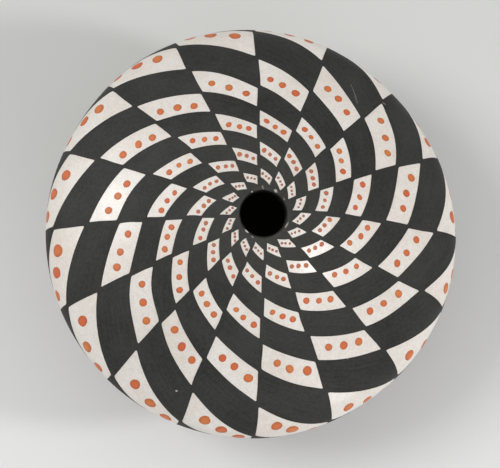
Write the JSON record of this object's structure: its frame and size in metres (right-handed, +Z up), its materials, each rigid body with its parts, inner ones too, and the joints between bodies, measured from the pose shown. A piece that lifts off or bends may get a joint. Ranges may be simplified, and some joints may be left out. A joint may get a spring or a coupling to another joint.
{
  "type": "seed pot",
  "caption": "Squat hand-coiled pottery seed pot with a small round mouth, a flat foot, and a painted spiral checkerboard whose white cells hold orange dots.",
  "frame": {"origin": "centre of the flat foot, on the table", "axes": "+Z up along the pot's axis and out of the mouth; +X along one of the painted spokes"},
  "size_m": [0.1302, 0.1302, 0.0668],
  "materials": {
    "clay": "unglazed, scraped",
    "white_slip": "stone-polished satin",
    "black_paint": "fired matte paint",
    "orange_paint": "fired matte paint"
  },
  "bodies": {
    "root": {"base": "clay", "lower_coil_1": "clay", "lower_coil_2": "clay", "belly_coil_1": "clay", "belly_coil_2": "clay", "dome_coil_1": "clay", "dome_coil_2": "clay", "dome_coil_3": "clay", "dome_coil_4": "clay", "rim_coil": "clay", "white_slip": "white_slip", "black_paint": "black_paint", "orange_dots": "orange_paint"}
  },
  "joints": []
}
